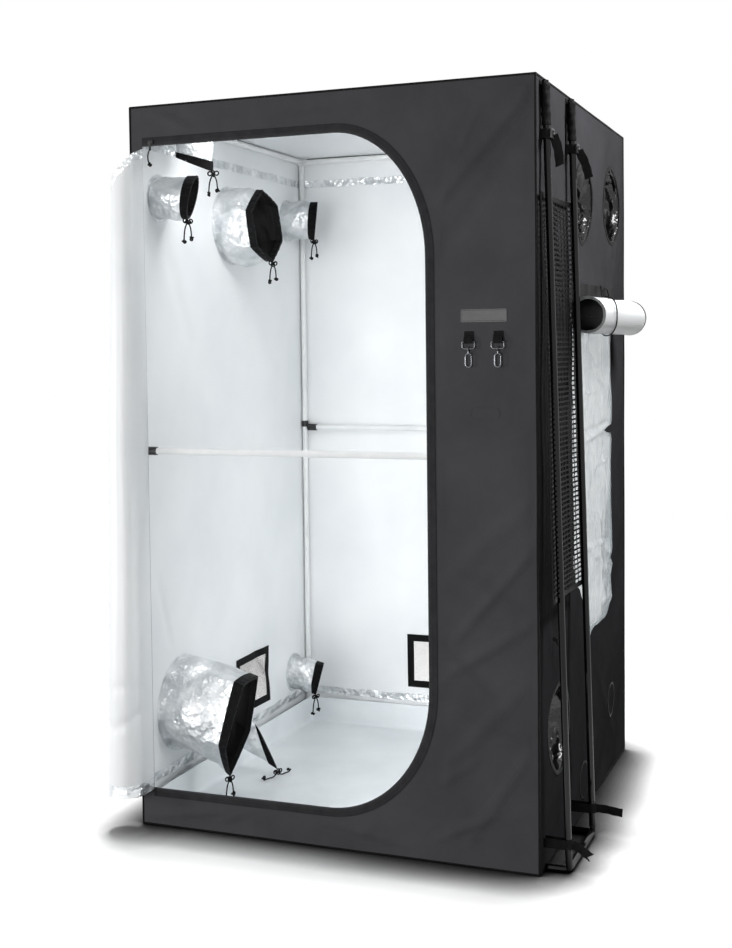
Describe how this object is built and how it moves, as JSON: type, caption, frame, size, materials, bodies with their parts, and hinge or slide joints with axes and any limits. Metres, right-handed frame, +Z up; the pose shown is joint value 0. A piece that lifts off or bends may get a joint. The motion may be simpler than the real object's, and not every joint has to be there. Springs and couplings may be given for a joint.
{
  "type": "indoor grow tent",
  "caption": "Free-standing indoor grow tent on a tube frame, with a D-shaped doorway, rolled door, duct sleeves, side window with rolled cover, and an equipment net on leaning poles.",
  "frame": {"origin": "middle of the cover's footprint, on the floor", "axes": "+Z up; the doorway faces -Y; the equipment net is outside the +X wall"},
  "size_m": [1.4303, 1.3173, 2.1],
  "materials": {
    "white_steel": "gloss white powder coat",
    "black_steel": "gloss black powder coat",
    "black_plastic": "satin moulded nylon",
    "oxford_cloth": "charcoal coated oxford weave, matt",
    "white_lining": "white reflective lining, satin",
    "floor_liner": "white coated liner, satin",
    "silver_mylar": "crinkled silver foil cloth, glossy",
    "window_film": "milky soft film, glossy",
    "webbing": "black woven webbing, matt",
    "net": "black slotted net, satin",
    "nickel": "dark nickel plate, satin"
  },
  "bodies": {
    "tent": {"back_wall": "oxford_cloth", "bottom_rail_front": "white_steel", "bottom_rail_left": "white_steel", "bottom_rail_rear": "white_steel", "bottom_rail_right": "white_steel", "corner_bottom_left_front": "black_plastic", "corner_bottom_left_rear": "black_plastic", "corner_bottom_right_front": "black_plastic", "corner_bottom_right_rear": "black_plastic", "corner_top_left_front": "black_plastic", "corner_top_left_rear": "black_plastic", "corner_top_right_front": "black_plastic", "corner_top_right_rear": "black_plastic", "door_zip": "black_plastic", "floor_panel": "oxford_cloth", "floor_tray": "floor_liner", "foot_frame": "black_steel", "front_panel": "oxford_cloth", "left_wall": "oxford_cloth", "pole_pocket_front": "webbing", "pole_pocket_rear": "webbing", "post_left_front": "white_steel", "post_left_rear": "white_steel", "post_right_front": "white_steel", "post_right_rear": "white_steel", "rack_net": "net", "rack_pole_front": "black_steel", "rack_pole_rear": "black_steel", "right_wall": "oxford_cloth", "roof_panel": "oxford_cloth", "sleeve_left_lower_front": "silver_mylar", "sleeve_left_lower_rear": "silver_mylar", "sleeve_left_lower_small": "silver_mylar", "sleeve_left_upper_front": "silver_mylar", "sleeve_left_upper_middle": "silver_mylar", "sleeve_left_upper_rear": "silver_mylar", "sleeve_right_lower_front": "silver_mylar", "sleeve_right_upper_front": "silver_mylar", "sleeve_right_upper_rear": "silver_mylar", "sleeve_roof": "silver_mylar", "top_rail_front": "white_steel", "top_rail_left": "white_steel", "top_rail_rear": "white_steel", "top_rail_right": "white_steel", "vent_left": "webbing", "vent_rear": "webbing", "window_film": "window_film", "window_roll": "white_lining"},
    "door": {"door_roll": "white_lining"},
    "front_mid_bar": {"front_mid_bar": "white_steel"},
    "rear_mid_bar": {"rear_mid_bar": "white_steel"},
    "front_hanging_bar": {"front_hanging_bar": "white_steel"},
    "rear_hanging_bar": {"rear_hanging_bar": "white_steel"},
    "zip_slider": {"zip_slider": "black_plastic"},
    "ring_left": {"d_ring_1": "nickel"},
    "ring_right": {"d_ring_2": "nickel"},
    "hook_left": {"snap_hook_1": "nickel"},
    "hook_right": {"snap_hook_2": "nickel"},
    "gate_left": {"hook_gate_1": "nickel"},
    "gate_right": {"hook_gate_2": "nickel"}
  },
  "joints": [
    {"name": "door_swing", "type": "hinge", "parent": "tent", "child": "door", "pos_m": [-0.563, -0.6003, 1.044], "axis": [0, 0, 1], "range_deg": [0, 85]},
    {"name": "front_mid_bar_height", "type": "slide", "parent": "tent", "child": "front_mid_bar", "axis": [0, 0, 1], "range_m": [-0.9, 0.9]},
    {"name": "rear_mid_bar_height", "type": "slide", "parent": "tent", "child": "rear_mid_bar", "axis": [0, 0, 1], "range_m": [-0.9, 0.9]},
    {"name": "front_hanging_bar_slide", "type": "slide", "parent": "tent", "child": "front_hanging_bar", "axis": [0, 1, 0], "range_m": [-0.05, 0.07]},
    {"name": "rear_hanging_bar_slide", "type": "slide", "parent": "tent", "child": "rear_hanging_bar", "axis": [0, 1, 0], "range_m": [-0.05, 0.64]},
    {"name": "zip_slide", "type": "slide", "parent": "tent", "child": "zip_slider", "axis": [1, 0, 0], "range_m": [0, 0.6]},
    {"name": "ring_swing_left", "type": "hinge", "parent": "tent", "child": "ring_left", "pos_m": [0.417, -0.608, 1.412], "axis": [1, 0, 0], "range_deg": [-110, 2]},
    {"name": "hook_swing_left", "type": "hinge", "parent": "ring_left", "child": "hook_left", "pos_m": [0.417, -0.608, 1.394], "axis": [1, 0, 0], "range_deg": [-60, 4]},
    {"name": "gate_left", "type": "hinge", "parent": "hook_left", "child": "gate_left", "pos_m": [0.425, -0.608, 1.3544], "axis": [0, 1, 0], "range_deg": [-28, 0], "stiffness_Nm_per_rad": 0.01, "springref_deg": 8.59},
    {"name": "ring_swing_right", "type": "hinge", "parent": "tent", "child": "ring_right", "pos_m": [0.497, -0.608, 1.412], "axis": [1, 0, 0], "range_deg": [-110, 2]},
    {"name": "hook_swing_right", "type": "hinge", "parent": "ring_right", "child": "hook_right", "pos_m": [0.497, -0.608, 1.394], "axis": [1, 0, 0], "range_deg": [-60, 4]},
    {"name": "gate_right", "type": "hinge", "parent": "hook_right", "child": "gate_right", "pos_m": [0.505, -0.608, 1.3544], "axis": [0, 1, 0], "range_deg": [-28, 0], "stiffness_Nm_per_rad": 0.01, "springref_deg": 8.59}
  ]
}
